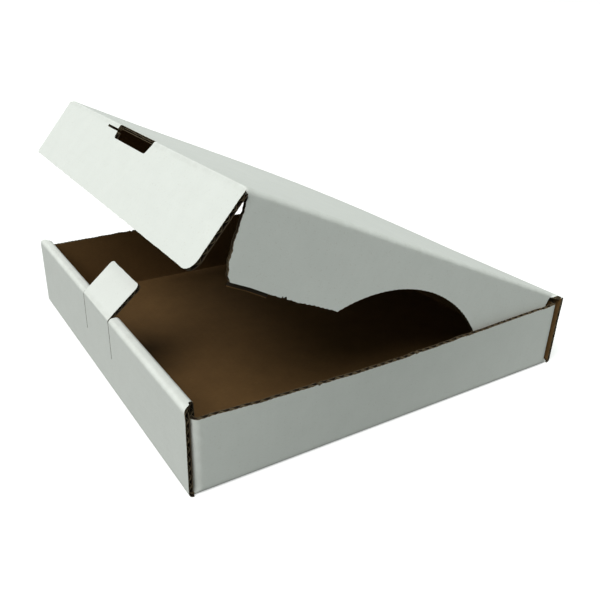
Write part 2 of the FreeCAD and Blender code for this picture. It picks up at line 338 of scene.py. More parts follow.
class Sheet:
    """One flat sheet of board, with the methods that fold it and make its mesh.

    Each kind of sheet gives its outlines, its grid lines and where its points lie in the folded box.
    A half cylinder, the nose, ends one sheet at a crease that moves, and a hollow in the next turns on it.
    """

    nose_steps = 8
    nose_white = 2.0
    hollow_shares = (1.0, 0.92, 0.8, 0.6, 0.3, 0.0)
    seed = 0.0
    u_spacing = 15.0
    v_spacing = 14.0
    side_margin = 2.0
    line_overshoot = 1.0
    probe = 0.01
    turned_back = 0.2
    sharpest = 0.6
    style = CutStyle()
    hinge_start = 1.6
    hinge_radius = BOARD.hinge_radius
    hinge_flare = 0.0

    def __init__(self, sizes: TraySizes | LidSizes | FrontFlapSizes | LockTabSizes) -> None:
        """Keep the sizes."""
        self.sizes = sizes

    def loops(self) -> list[list[Corner]]:
        """The outline and its holes, anticlockwise with the board on the left."""
        raise NotImplementedError

    def u_lines(self) -> list[float]:
        """Where the mesh is divided across the flutes."""
        reach = self.sizes.half_width - self.side_margin
        return stations(-reach, reach, self.u_spacing)

    def v_lines(self) -> list[float]:
        """Where the mesh is divided along the flutes."""
        raise NotImplementedError

    def place(self, u: float, v: float, lift: float) -> Vector:
        """Where a point of the sheet is in the folded box, in millimetres."""
        raise NotImplementedError

    def crease(self, u: float, v: float) -> float:
        """How much a point is part of a crease, from 0 to 1."""
        return near_crease(v, 0.0, self.hinge_start)

    def rim_profile(self, rim: Rim) -> list[tuple[float, float, Skin]]:
        """The section of a rim, from the white face to the brown face.

        Args:
            rim: the kind of rim.

        Returns:
            (distance out, lift, skin of the face that follows) for each point.
        """
        half, inner, depth = BOARD.half, BOARD.half - BOARD.liner, BOARD.cut_depth
        # The recess faces take the hollow skin, whose near-black colour is painted shade.
        opened = [(0.0, inner, Skin.HOLLOW), (-depth, inner, Skin.HOLLOW), (-depth, -inner, Skin.HOLLOW)]
        if rim.is_cut:
            return [(0.0, half, Skin.CUT), *opened, (0.0, -inner, Skin.CUT), (0.0, -half, Skin.CUT)]
        if rim is Rim.THIN:
            return [(0.0, half, Skin.CUT), (0.0, -half, Skin.CUT)]
        if rim is Rim.LIP:
            lip = BOARD.torn_lip
            hanging = ((lip - BOARD.lip_bevel, -inner), (lip, -inner), (lip, -half), (0.0, -half))
            return [(0.0, half, Skin.WHITE), *opened, *((out, lift, Skin.KRAFT) for out, lift in hanging)]
        if rim is Rim.NOSE:
            angles = [math.pi * step / self.nose_steps for step in range(self.nose_steps + 1)]
            skins = [Skin.WHITE if angle < self.nose_white else Skin.KRAFT for angle in angles]
            return [(half * math.sin(a), half * math.cos(a), skin) for a, skin in zip(angles, skins)]
        rows = [(0.0, half, Skin.WHITE)]
        for share in self.hollow_shares:
            lift = half * share
            radius = self.hinge_radius + self.hinge_flare * (1 - share)
            rows.append((self.hinge_start - math.sqrt(radius * radius - lift * lift), lift, Skin.KRAFT))
        rows.append((0.0, -half, Skin.KRAFT))
        return rows

    def flat_mesh(self) -> tuple[list[Vector], list[tuple[int, ...]], dict[tuple[int, int], Rim]]:
        """Divide the outline into triangles along the grid lines.

        Returns:
            The points, the triangles anticlockwise, and the rim of each outer edge, by its two
            points with the board on the left.
        """
        loops = [sampled(rounded(loop), self.style, self.seed) for loop in self.loops()]
        points: list[Vector] = []
        edges: list[tuple[int, int]] = []
        rims: list[Rim] = []
        for loop in loops:
            first = len(points)
            points += [corner.flat for corner in loop]
            for number, corner in enumerate(loop):
                edges.append((first + number, first + (number + 1) % len(loop)))
                rims.append(corner.rim)
        low_u, high_u = (limit(p.x for p in points) for limit in (min, max))
        low_v, high_v = (limit(p.y for p in points) for limit in (min, max))
        past = self.line_overshoot
        cuts = [((u, low_v - past), (u, high_v + past)) for u in self.u_lines()]
        cuts += [((low_u - past, v), (high_u + past, v)) for v in self.v_lines()]
        for start, end in cuts:
            edges.append((len(points), len(points) + 1))
            points += [Vector(start), Vector(end)]
        divided = geometry.delaunay_2d_cdt(points, edges, [], 0, FLAT_WELD, True)
        out, out_edges, faces, _, edge_ids, _ = divided
        centres = numpy.array([sum((out[i] for i in face), Vector((0, 0))) / len(face) for face in faces])
        triangles = []
        for face, keep in zip(faces, inside(centres, loops)):
            if keep:
                a, b, c = (out[i] for i in face)
                triangles.append(tuple(face if (b - a).cross(c - a) > 0 else face[::-1]))
        rim_of_edge = {}
        for pair, ids in zip(out_edges, edge_ids):
            outline_ids = [number for number in ids if number < len(rims)]
            if outline_ids:
                rim_of_edge[frozenset(pair)] = rims[outline_ids[0]]
        directed = dict.fromkeys(pair for face in triangles for pair in zip(face, face[1:] + face[:1]))
        outer = {
            (a, b): rim_of_edge[frozenset((a, b))]
            for a, b in directed
            if (b, a) not in directed and frozenset((a, b)) in rim_of_edge
        }
        return out, triangles, outer

    def is_right_handed(self, u: float, v: float) -> bool:
        """Whether u, v and lift make a right-handed set where the sheet lies.

        Args:
            u: the place along the flutes.
            v: the place across the flutes.

        Returns:
            Whether they do.
        """
        origin = self.place(u, v, 0.0)
        along = self.place(u + self.probe, v, 0.0) - origin
        across = self.place(u, v + self.probe, 0.0) - origin
        up = self.place(u, v, self.probe) - origin
        return along.cross(across).dot(up) > 0

    def build(self, mesh: BoardMesh) -> None:
        """Add both faces, every rim and the lines for the flutes to a mesh.

        Args:
            mesh: the mesh that takes them.
        """
        points, triangles, outer = self.flat_mesh()
        middle = sum((points[i] for i in triangles[0]), Vector((0, 0))) / 3
        flip = not self.is_right_handed(middle.x, middle.y)
        half = BOARD.half
        used = sorted({i for face in triangles for i in face})
        white, brown = {}, {}
        for i in used:
            u, v = points[i]
            crease = self.crease(u, v)
            white[i] = mesh.point(self.place(u, v, half), u, v, crease)
            brown[i] = mesh.point(self.place(u, v, -half), u, v, crease)
        for a, b, c in triangles:
            mesh.face((white[a], white[b], white[c]), Skin.WHITE, flip)
            mesh.face((brown[c], brown[b], brown[a]), Skin.KRAFT, flip)
        self.build_rims(mesh, points, outer, white, brown, flip)

    def build_rims(self, mesh: BoardMesh, points: list[Vector], outer: dict[tuple[int, int], Rim],
                   white: dict[int, int], brown: dict[int, int], flip: bool) -> None:
        """Close the sheet along its outer edges.

        Args:
            mesh: the mesh that takes the faces.
            points: the flat points.
            outer: the rim of each outer edge.
            white: the mesh point over each flat point, on the white face.
            brown: the same on the brown face.
            flip: whether the faces are turned round.
        """
        outwards: dict[tuple[int, bool, Rim], list[Vector]] = {}
        for (a, b), rim in outer.items():
            along = (points[b] - points[a]).normalized()
            out = Vector((along.y, -along.x))
            kind = Rim.CUT if rim.is_cut else rim
            for i in (a, b):
                outwards.setdefault((i, kind), []).append(out)

        def direction(i: int, kind: Rim) -> Vector:
            """The way out of the sheet at a point, shared by the edges that meet there.

            Args:
                i: the number of the flat point.
                kind: the kind of rim.

            Returns:
                The way out, longer at a sharp corner.
            """
            ways = outwards[(i, kind)]
            total = sum(ways, Vector((0, 0)))
            if total.length < self.turned_back:
                return ways[0]
            unit = total.normalized()
            return unit / max(unit.dot(ways[0]), self.sharpest)

        rows: dict[tuple[int, Rim], list[int]] = {}

        def row(i: int, kind: Rim) -> list[int]:
            """The mesh points of a rim's section at a flat point.

            Args:
                i: the number of the flat point.
                kind: the kind of rim.

            Returns:
                The numbers of the mesh points, from the white face to the brown face.
            """
            if (i, kind) in rows:
                return rows[(i, kind)]
            way = direction(i, kind)
            profile = self.rim_profile(kind)
            made = [white[i]]
            for out, lift, _ in profile[1:-1]:
                u, v = points[i] + way * out
                made.append(mesh.point(self.place(u, v, lift), u, v, self.crease(u, v)))
            made.append(brown[i])
            rows[(i, kind)] = made
            return made

        starts: dict[tuple[int, Rim], int] = {}
        ends: dict[tuple[int, Rim], int] = {}
        for (a, b), rim in outer.items():
            if rim is Rim.SEAM:
                continue
            kind = Rim.CUT if rim.is_cut else rim
            profile = self.rim_profile(kind)
            row_a, row_b = row(a, kind), row(b, kind)
            for number in range(len(profile) - 1):
                quad = (row_b[number], row_a[number], row_a[number + 1], row_b[number + 1])
                mesh.face(quad, profile[number][2], flip)
            starts[(a, kind)] = b
            ends[(b, kind)] = a
            if kind is Rim.CUT:
                mesh.flute_line(self, points[a], points[b], direction(a, kind), direction(b, kind))
        for i, kind in starts:
            if (i, kind) not in ends:
                self.cap(mesh, rows[(i, kind)], kind, not flip)
        for i, kind in ends:
            if (i, kind) not in starts:
                self.cap(mesh, rows[(i, kind)], kind, flip)

    def cap(self, mesh: BoardMesh, points: list[int], kind: Rim, flip: bool) -> None:
        """Close the end of a rim's section.

        Args:
            mesh: the mesh that takes the face.
            points: the section's mesh points.
            kind: the kind of rim.
            flip: whether the face is turned round.
        """
        if kind is Rim.CUT:
            # The open end of a cut rim shows the recess in the hollow skin's painted shade.
            mesh.face(tuple(points[1:5]), Skin.HOLLOW, flip)
        else:
            mesh.face(tuple(points), Skin.CUT, flip)


class BoardMesh:
    """The mesh of one body: its sheets, and the lines along which its cut edges show flutes."""

    def __init__(self, name: str) -> None:
        """Start an empty mesh with a name.

        Args:
            name: the name.
        """
        self.name = name
        self.points: list[tuple[Vector, float, float, float]] = []
        self.faces: list[tuple[tuple[int, ...], Skin]] = []
        self.line_points: list[tuple[Vector, Vector, Vector, float]] = []
        self.line_edges: list[tuple[int, int]] = []

    def point(self, where: Vector, u: float, v: float, crease: float) -> int:
        """Add a point in millimetres with its place on the sheet, and return its number."""
        self.points.append((where, u, v, crease))
        return len(self.points) - 1

    def face(self, corners: tuple[int, ...], skin: Skin, flip: bool) -> None:
        """Add a face, turned round where the sheet is left-handed."""
        self.faces.append((corners[::-1] if flip else corners, skin))

    def flute_line(self, sheet: Sheet, a: Vector, b: Vector, out_a: Vector, out_b: Vector) -> None:
        """Add one short edge along which the fluted paper shows.

        Args:
            sheet: the sheet that is cut.
            a: the flat start of the edge.
            b: the flat end of the edge.
            out_a: the way out of the sheet at the start.
            out_b: the way out of the sheet at the end.
        """
        recess = BOARD.flute_recess
        first = len(self.line_points)
        for flat, out in ((a, out_a), (b, out_b)):
            u, v = flat - out * recess
            middle = sheet.place(u, v, 0.0)
            across = sheet.place(u, v, 0.5) - sheet.place(u, v, -0.5)
            deeper = flat - out * (recess + 1.0)
            inwards = sheet.place(deeper.x, deeper.y, 0.0) - middle
            self.line_points.append((middle, across, inwards, v))
        self.line_edges.append((first, first + 1))

    def make_board(self, finishes: list[bpy.types.Material]) -> bpy.types.Object:
        """Turn the faces into an object.

        Args:
            finishes: the materials in the order of Skin.

        Returns:
            The object, linked to the scene.
        """
        data = bpy.data.meshes.new(self.name)
        work = bmesh.new()
        uv = work.loops.layers.uv.new("sheet")
        crease = work.verts.layers.float.new("crease")
        verts = []
        for where, _, _, amount in self.points:
            vert = work.verts.new(where * METRES)
            vert[crease] = amount
            verts.append(vert)
        for corners, skin in self.faces:
            unique = list(dict.fromkeys(corners))
            if len(unique) < 3:
                continue
            try:
                made = work.faces.new([verts[i] for i in unique])
            except ValueError:
                continue
            made.material_index = int(skin)
            made.smooth = True
            for loop, i in zip(made.loops, unique):
                _, u, v, _ = self.points[i]
                loop[uv].uv = (u * METRES, v * METRES)
        bmesh.ops.remove_doubles(work, verts=work.verts, dist=WELD)
        bmesh.ops.dissolve_degenerate(work, edges=work.edges, dist=SLIVER)
        work.to_mesh(data)
        work.free()
        for finish in finishes:
            data.materials.append(finish)
        data.set_sharp_from_angle(angle=SHARP_ANGLE)
        return add_object(self.name, data)

    def make_lines(self, name: str) -> bpy.types.Object:
        """Turn the lines for the flutes into an object with the values that the fluting tree reads.

        Args:
            name: the object's name.

        Returns:
            The object, linked to the scene.
        """
        data = bpy.data.meshes.new(name)
        data.from_pydata([where * METRES for where, _, _, _ in self.line_points], self.line_edges, [])
        _, across, inwards, phase = zip(*self.line_points)
        for title, vectors in (("across", across), ("inwards", inwards)):
            flat = [value for vector in vectors for value in vector]
            data.attributes.new(title, "FLOAT_VECTOR", "POINT").data.foreach_set("vector", flat)
        data.attributes.new("phase", "FLOAT", "POINT").data.foreach_set("value", phase)
        return add_object(name, data)


class NodeBuilder:
    """Adds nodes to a tree and links them by socket name."""

    def __init__(self, tree: bpy.types.NodeTree) -> None:
        """Work on one tree."""
        self.tree = tree

    def add(self, kind: str, inputs: dict | None = None, **settings: object) -> bpy.types.Node:
        """Add a node.

        Args:
            kind: the node's type name.
            inputs: a link or a plain value for each input, by name or number.
            settings: properties by name.

        Returns:
            The new node.
        """
        node = self.tree.nodes.new(kind)
        for key, value in settings.items():
            setattr(node, key, value)
        for socket, value in (inputs or {}).items():
            self.feed(node.inputs[socket], value)
        return node

    def feed(self, target: bpy.types.NodeSocket, value: object) -> None:
        """Give an input another node's output, or a plain value.

        Args:
            target: the input.
            value: another node's output, or a plain value.
        """
        if isinstance(value, bpy.types.NodeSocket):
            self.tree.links.new(value, target)
        else:
            target.default_value = value

    def math(self, operation: str, *values: object) -> bpy.types.NodeSocket:
        """Add a Math node and return its output."""
        return self.add("ShaderNodeMath", dict(enumerate(values)), operation=operation).outputs[0]

    def mix(self, amount: object, first: object, second: object) -> bpy.types.NodeSocket:
        """Add a colour Mix node and return its output."""
        return self.add("ShaderNodeMix", {0: amount, 6: first, 7: second}, data_type="RGBA").outputs[2]

    def ramp(self, value: object, low: float, high: float) -> bpy.types.NodeSocket:
        """Map a range of values to 0 to 1 and return the output."""
        return self.add("ShaderNodeMapRange", {0: value, 1: low, 2: high}).outputs[0]

    def noise(self, place: object, scale: object, detail: float, rough: float = 0.5) -> bpy.types.NodeSocket:
        """Add a Noise Texture and return its value."""
        inputs = {"Vector": place, "Scale": scale, "Detail": detail, "Roughness": rough}
        return self.add("ShaderNodeTexNoise", inputs).outputs[0]

    def attribute(self, name: str, kind: str) -> bpy.types.NodeSocket:
        """Read a named attribute of the points."""
        return self.add("GeometryNodeInputNamedAttribute", {0: name}, data_type=kind).outputs[0]

    def joined(self, *parts: bpy.types.Node) -> bpy.types.NodeSocket:
        """Join the first outputs of several geometry nodes.

        Args:
            parts: the nodes.

        Returns:
            The joined geometry.
        """
        both = self.add("GeometryNodeJoinGeometry")
        for part in parts:
            self.feed(both.inputs[0], part.outputs[0])
        return both.outputs[0]


@dataclass(frozen=True)
class Fluting:
    """The fluted paper that shows between the two liners of a cut edge."""

    seed: int = 4
    fibre_share: float = 0.04
    fibre_length: float = 0.45
    fibre_width: float = 0.04
    fibre_middle: Triple = (0.4, 0.0, 0.4)
    fibre_tip: Triple = (1.0, 0.2, 0.3)
    shortest: float = 0.4

    def strands(self, b: NodeBuilder, given: bpy.types.NodeInputs) -> bpy.types.Node:
        """Scatter loose fibres over the cut lines.

        Args:
            b: the builder of the tree.
            given: the tree's inputs.

        Returns:
            The node with the fibres as instances.
        """
        spots = b.add("GeometryNodeMeshToPoints", {"Mesh": given["Cut lines"]})
        seed = given["Seed"]
        share = {"Probability": given["Fibre share"], "Seed": seed}
        chance = b.add("FunctionNodeRandomValue", share, data_type="BOOLEAN")
        curve = {"Resolution": 4, "Start": (0, 0, 0), "Middle": self.fibre_middle, "End": self.fibre_tip}
        fibre = b.add("GeometryNodeCurveQuadraticBezier", curve)
        radius = b.math("DIVIDE", given["Fibre width"], given["Fibre length"])
        ring = b.add("GeometryNodeCurvePrimitiveCircle", {"Resolution": 3, "Radius": radius})
        tube = {"Curve": fibre.outputs[0], "Profile Curve": ring.outputs[0]}
        strand = b.add("GeometryNodeCurveToMesh", tube)
        turns = {0: (0, 0, 0), 1: (math.tau, math.tau, math.tau), "Seed": seed}
        turned = b.add("FunctionNodeRandomValue", turns, data_type="FLOAT_VECTOR")
        length = b.add("FunctionNodeRandomValue", {2: self.shortest, 3: 1.0, "Seed": seed}, data_type="FLOAT")
        return b.add("GeometryNodeInstanceOnPoints", {
            "Points": spots.outputs[0],
            "Selection": chance.outputs[3],
            "Instance": strand.outputs[0],
            "Rotation": turned.outputs[0],
            "Scale": b.math("MULTIPLY", length.outputs[1], given["Fibre length"]),
        })

    def tree(self) -> bpy.types.NodeTree:
        """The tree that waves a cut line, deepens it into a ribbon and adds loose fibres.

        Returns:
            The Geometry Nodes tree.
        """
        tree = bpy.data.node_groups.new("fluted paper", "GeometryNodeTree")
        numbers = ("Pitch", "Wave height", "Depth", "Paper", "Fibre share", "Fibre length", "Fibre width")
        sockets = [("Cut lines", "Geometry"), *((title, "Float") for title in numbers), ("Seed", "Int")]
        for title, kind in (*sockets, ("Finish", "Material")):
            tree.interface.new_socket(title, in_out="INPUT", socket_type=f"NodeSocket{kind}")
        tree.interface.new_socket("Flutes", in_out="OUTPUT", socket_type="NodeSocketGeometry")
        b = NodeBuilder(tree)
        given = b.add("NodeGroupInput").outputs

        turn = b.math("MULTIPLY", b.attribute("phase", "FLOAT"), math.tau)
        wave = b.math("SINE", b.math("DIVIDE", turn, given["Pitch"]))
        height = b.math("MULTIPLY", b.math("MULTIPLY", wave, given["Wave height"]), 0.5)
        across = {0: b.attribute("across", "FLOAT_VECTOR"), "Scale": height}
        lift = b.add("ShaderNodeVectorMath", across, operation="SCALE")
        waved = b.add("GeometryNodeSetPosition", {"Geometry": given["Cut lines"], "Offset": lift.outputs[0]})
        deeper = {"Offset": b.attribute("inwards", "FLOAT_VECTOR"), "Offset Scale": given["Depth"]}
        ribbon = b.add("GeometryNodeExtrudeMesh", {"Mesh": waved.outputs[0], **deeper}, mode="EDGES")
        paper = {"Mesh": ribbon.outputs[0], "Offset Scale": given["Paper"], "Individual": False}
        thick = b.add("GeometryNodeExtrudeMesh", paper, mode="FACES")
        both = b.joined(thick, b.add("GeometryNodeFlipFaces", {0: ribbon.outputs[0]}))
        closed = b.add("GeometryNodeMergeByDistance", {0: both, "Distance": WELD})

        everything = b.joined(closed, self.strands(b, given))
        real = b.add("GeometryNodeRealizeInstances", {0: everything})
        dressed = b.add("GeometryNodeSetMaterial", {"Geometry": real.outputs[0], "Material": given["Finish"]})
        b.add("NodeGroupOutput", {0: dressed.outputs[0]})
        return tree

    def make(self, name: str, lines: bpy.types.Object, finish: bpy.types.Material) -> bpy.types.Object:
        """Run the tree on a body's cut lines and keep the result as a plain mesh.

        Args:
            name: the piece's name.
            lines: the cut lines, which are removed.
            finish: the material.

        Returns:
            The finished piece.
        """
        tree = self.tree()
        modifier = lines.modifiers.new("flutes", "NODES")
        modifier.node_group = tree
        wave_height = BOARD.thickness - 2 * BOARD.liner - BOARD.fluting
        values = {
            "Pitch": BOARD.flute_pitch,
            "Wave height": wave_height * METRES,
            "Depth": (BOARD.cut_depth - BOARD.flute_play) * METRES,
            "Paper": BOARD.fluting * METRES,
            "Fibre share": self.fibre_share,
            "Fibre length": self.fibre_length * METRES,
            "Fibre width": self.fibre_width * METRES,
            "Seed": self.seed,
            "Finish": finish,
        }
        for item in tree.interface.items_tree:
            if item.in_out == "INPUT" and item.name in values:
                modifier[item.identifier] = values[item.name]
        depsgraph = bpy.context.evaluated_depsgraph_get()
        data = bpy.data.meshes.new_from_object(lines.evaluated_get(depsgraph), depsgraph=depsgraph)
        data.name = name
        bpy.data.objects.remove(lines)
        return add_object(name, data)


class SurfaceGroup(NodeBuilder):
    """A shader node group under construction, with number inputs and outputs only."""

    def __init__(self, name: str, inputs: dict[str, float], outputs: tuple[str, ...]) -> None:
        """Start the group.

        Args:
            name: the group's name.
            inputs: number inputs with their usual values.
            outputs: the names of number outputs.
        """
        super().__init__(bpy.data.node_groups.new(name, "ShaderNodeTree"))
        for title, value in inputs.items():
            socket = self.tree.interface.new_socket(title, in_out="INPUT", socket_type="NodeSocketFloat")
            socket.default_value = value
        for title in outputs:
            self.tree.interface.new_socket(title, in_out="OUTPUT", socket_type="NodeSocketFloat")
        self.given = self.add("NodeGroupInput").outputs
        self.out = self.add("NodeGroupOutput").inputs

    def place(self) -> bpy.types.NodeSocket:
        """Where a point is on its object, in metres."""
        return self.add("ShaderNodeTexCoord").outputs["Object"]

    def on_sheet(self) -> bpy.types.bpy_prop_collection:
        """Where a point is on its flat sheet, as two numbers in metres."""
        sheet = self.add("ShaderNodeUVMap", uv_map="sheet").outputs[0]
        return self.add("ShaderNodeSeparateXYZ", {0: sheet}).outputs


def paper_fibre_group() -> bpy.types.NodeTree:
    """Cloudy paper with drawn-out fibres and small flecks.

    Returns:
        The group, with Cloud, Fibre and Fleck outputs from 0 to 1.
    """
    b = SurfaceGroup("paper fibres", {"Scale": 1.0, "Stretch": 5.0}, ("Cloud", "Fibre", "Fleck"))
    place, flat = b.place(), b.on_sheet()
    drawn = b.add("ShaderNodeCombineXYZ", {0: b.math("MULTIPLY", flat[0], b.given["Stretch"]), 1: flat[1]})
    cloud_scale, fibre_scale, fleck_scale = 70.0, 260.0, 900.0
    soft, sparse = (0.3, 0.7), (0.66, 0.74)
    cloud = b.noise(place, b.math("MULTIPLY", b.given["Scale"], cloud_scale), 3.0)
    fibre = b.noise(drawn.outputs[0], b.math("MULTIPLY", b.given["Scale"], fibre_scale), 4.0, 0.7)
    fleck = b.noise(place, b.math("MULTIPLY", b.given["Scale"], fleck_scale), 1.0)
    b.feed(b.out["Cloud"], b.ramp(cloud, *soft))
    b.feed(b.out["Fibre"], b.ramp(fibre, *soft))
    b.feed(b.out["Fleck"], b.ramp(fleck, *sparse))
    return b.tree


def washboard_group() -> bpy.types.NodeTree:
    """The faint ribs that the flutes press into a liner.

    Returns:
        The group, with a Ribs output from 0 to 1.
    """
    b = SurfaceGroup("washboard", {"Pitch": BOARD.flute_pitch * METRES, "Unevenness": 0.5}, ("Ribs",))
    turn = b.math("DIVIDE", b.math("MULTIPLY", b.on_sheet()[1], math.tau), b.given["Pitch"])
    wave = b.math("ADD", b.math("MULTIPLY", b.math("SINE", turn), 0.5), 0.5)
    patch_scale, patch_range = 22.0, (0.35, 0.7)
    faded = b.ramp(b.noise(b.place(), patch_scale, 2.0), *patch_range)
    kept = b.math("SUBTRACT", 1.0, b.math("MULTIPLY", b.given["Unevenness"], faded))
    b.feed(b.out["Ribs"], b.math("MULTIPLY", wave, kept))
    return b.tree


def handling_group() -> bpy.types.NodeTree:
    """Soft marks from handling: creases that have gone grey, and a few scuffs.

    Returns:
        The group, with Crease and Scuff outputs from 0 to 1.
    """
    b = SurfaceGroup("handling marks", {"Crease": 0.5, "Scuffs": 0.3}, ("Crease", "Scuff"))
    place = b.place()
    wear_scale, wear_range = 160.0, (0.35, 0.65)
    scuff_scale, scuff_range = 38.0, (0.6, 0.72)
    crease = b.add("ShaderNodeAttribute", attribute_name="crease").outputs["Fac"]
    worn = b.math("MULTIPLY", crease, b.ramp(b.noise(place, wear_scale, 4.0), *wear_range))
    scuff = b.ramp(b.noise(place, scuff_scale, 6.0, 0.75), *scuff_range)
    b.feed(b.out["Crease"], b.math("MULTIPLY", worn, b.given["Crease"]))
    b.feed(b.out["Scuff"], b.math("MULTIPLY", scuff, b.given["Scuffs"]))
    return b.tree


@dataclass(frozen=True)
class PaperFinish:
    """One paper surface of the board. Colours are linear."""

    title: str
    colour: Triple
    shade: Triple
    fleck: Triple
    worn: Triple
    cloud: float
    fibre: float
    flecks: float
    crease: float
    scuffs: float
    ribs: float
    rib_height: float
    grain_height: float
    roughness: float
    rough_spread: float = 0.08
    specular: float = 0.3

    def material(self, groups: dict[str, bpy.types.NodeTree]) -> bpy.types.Material:
        """Build the material.

        Args:
            groups: the shared node groups by name.

        Returns:
            The material.
        """
        material = bpy.data.materials.new(self.title)
        material.use_nodes = True
        material.node_tree.nodes.clear()
        b = NodeBuilder(material.node_tree)
        fibres = b.add("ShaderNodeGroup", node_tree=groups["fibres"]).outputs
        ribs = b.add("ShaderNodeGroup", node_tree=groups["washboard"]).outputs[0]
        marks = b.add("ShaderNodeGroup", node_tree=groups["marks"])
        marks.inputs["Crease"].default_value = self.crease
        marks.inputs["Scuffs"].default_value = self.scuffs

        colour = (*self.colour, 1)
        for mask, share, tint in (
            (fibres["Cloud"], self.cloud, self.shade),
            (fibres["Fibre"], self.fibre, self.shade),
            (ribs, self.ribs, self.shade),
            (fibres["Fleck"], self.flecks, self.fleck),
        ):
            colour = b.mix(b.math("MULTIPLY", mask, share), colour, (*tint, 1))
        wear = b.math("MAXIMUM", marks.outputs["Crease"], marks.outputs["Scuff"])
        colour = b.mix(wear, colour, (*self.worn, 1))

        rib_bump = b.add("ShaderNodeBump", {"Height": ribs, "Strength": 1.0, "Distance": self.rib_height})
        grain = b.math("ADD", fibres["Fibre"], fibres["Fleck"])
        bump = {"Height": grain, "Strength": 1.0, "Distance": self.grain_height}
        bump["Normal"] = rib_bump.outputs[0]
        low = self.roughness - self.rough_spread / 2
        shader = b.add("ShaderNodeBsdfPrincipled", {
            "Base Color": colour,
            "Normal": b.add("ShaderNodeBump", bump).outputs[0],
            "Roughness": b.math("ADD", b.math("MULTIPLY", fibres["Fibre"], self.rough_spread), low),
            "Specular IOR Level": self.specular,
        })
        b.add("ShaderNodeOutputMaterial", {0: shader.outputs[0]})
        return material


WHITE_LINER = PaperFinish(
    title="white_liner", colour=(0.785, 0.805, 0.775), shade=(0.71, 0.73, 0.70), fleck=(0.55, 0.53, 0.47),
    worn=(0.60, 0.61, 0.57), cloud=0.35, fibre=0.3, flecks=0.25, crease=0.3, scuffs=0.12, ribs=0.04,
    rib_height=0.00002, grain_height=0.000015, roughness=0.62,
)
KRAFT_LINER = PaperFinish(
    title="kraft_liner", colour=(0.168, 0.090, 0.029), shade=(0.112, 0.058, 0.017), fleck=(0.10, 0.06, 0.03),
    worn=(0.17, 0.10, 0.045), cloud=0.5, fibre=0.6, flecks=0.4, crease=0.5, scuffs=0.2, ribs=0.08,
    rib_height=0.00003, grain_height=0.00003, roughness=0.85,
)
CUT_EDGE = PaperFinish(
    title="cut_edge", colour=(0.120, 0.090, 0.050), shade=(0.065, 0.046, 0.024), fleck=(0.30, 0.27, 0.20),
    worn=(0.09, 0.06, 0.03), cloud=0.7, fibre=0.6, flecks=0.4, crease=0.2, scuffs=0.2, ribs=0.0,
    rib_height=0.00001, grain_height=0.00004, roughness=0.9,
)
# Painted shade: the flute hollows are coloured near black to stand for the shade inside the recess. The
# darkness is shade painted into the colour, not a darker paper.
FLUTE_HOLLOW_PAINTED_SHADE = PaperFinish(
    title="flute_hollow_painted_shade", colour=(0.035, 0.022, 0.012), shade=(0.020, 0.012, 0.006), fleck=(0.03, 0.02, 0.01),
    worn=(0.02, 0.012, 0.006), cloud=0.5, fibre=0.4, flecks=0.2, crease=0.0, scuffs=0.1, ribs=0.0,
    rib_height=0.00001, grain_height=0.00003, roughness=0.95,
)


def board_finishes() -> list[bpy.types.Material]:
    """Build the shared groups and the four board materials, in the order of Skin."""
    groups = {"fibres": paper_fibre_group(), "washboard": washboard_group(), "marks": handling_group()}
    return [finish.material(groups) for finish in (WHITE_LINER, KRAFT_LINER, CUT_EDGE, FLUTE_HOLLOW_PAINTED_SHADE)]


def stations(start: float, end: float, spacing: float) -> list[float]:
    """Evenly spaced places from a start to an end, both counted.

    Args:
        start: the first place.
        end: the last place.
        spacing: the most that two places may be apart.

    Returns:
        The places.
    """
    count = max(1, math.ceil(abs(end - start) / spacing))
    return [start + (end - start) * number / count for number in range(count + 1)]


def bend_lines(start: float, length: float, steps: int = 7, margin: float = 2.0) -> list[float]:
    """Grid lines over a crease and a little beyond both ends of it."""
    within = [start + length * n / steps for n in range(steps + 1)]
    return [start - margin, *within, start + length + margin]


def near_crease(distance: float, start: float, length: float, fade: float = 1.5) -> float:
    """How much a place is part of one crease: 1 on it, and 0 beyond a short fade."""
    outside = max(start - distance, distance - start - length, 0.0)
    return max(0.0, 1.0 - outside / fade)


